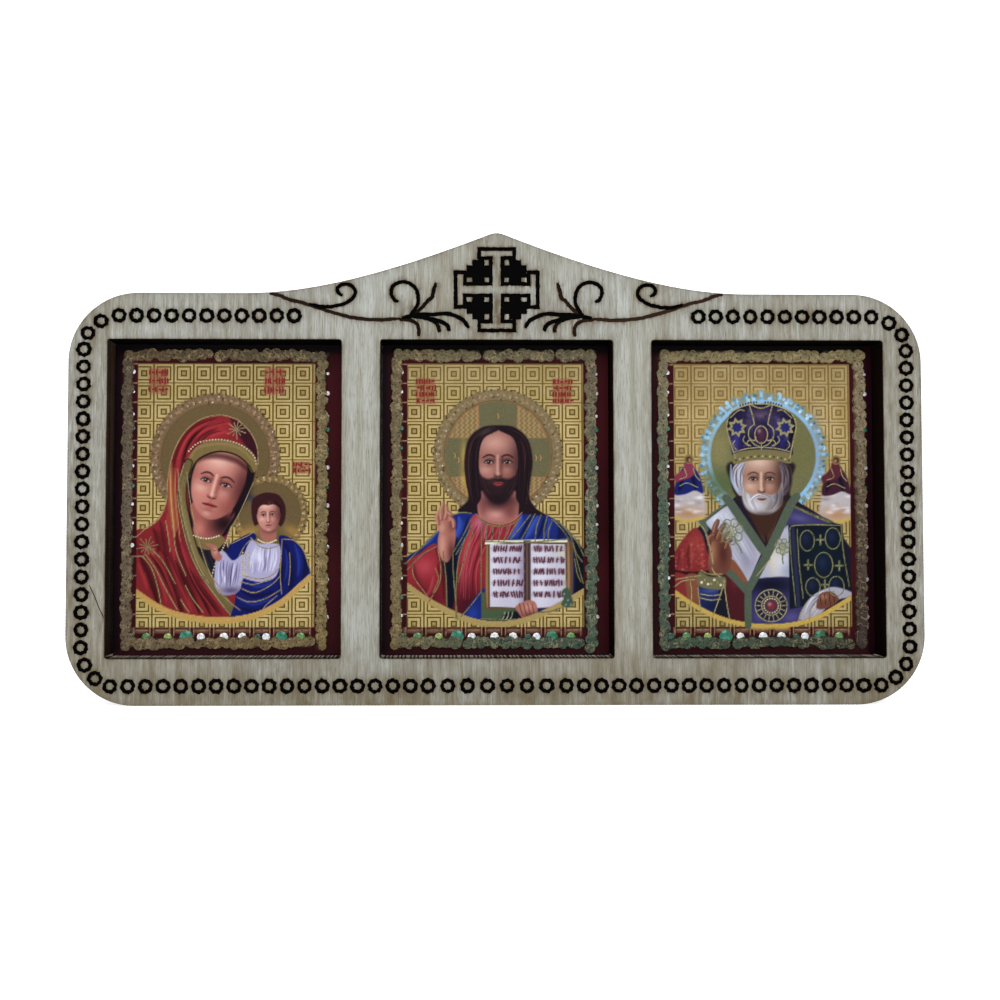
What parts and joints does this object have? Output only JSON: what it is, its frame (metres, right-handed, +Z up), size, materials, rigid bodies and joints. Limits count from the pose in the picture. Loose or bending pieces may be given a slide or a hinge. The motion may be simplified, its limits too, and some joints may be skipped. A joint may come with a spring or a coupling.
{
  "type": "wooden icon plaque",
  "caption": "Small upright plywood plaque with a pointed crest, recessed picture windows and a burnt ring-and-scroll border, for a shelf or dashboard.",
  "frame": {"origin": "middle of the underside, on the surface that the plaque stands on", "axes": "+X to the right as seen from the front, +Y from the front to the back, +Z up"},
  "size_m": [0.11, 0.0074, 0.0608],
  "materials": {
    "engraved_birch": "sanded, unvarnished, laser burnt",
    "plain_birch": "sanded, unvarnished, charred edges",
    "foil_print_left": "printed, gold foil, glossy",
    "foil_print_centre": "printed, gold foil, glossy",
    "foil_print_right": "printed, gold foil, glossy"
  },
  "bodies": {
    "root": {"front_frame": "engraved_birch", "back_board": "plain_birch", "left_card": "foil_print_left", "centre_card": "foil_print_centre", "right_card": "foil_print_right"}
  },
  "joints": []
}
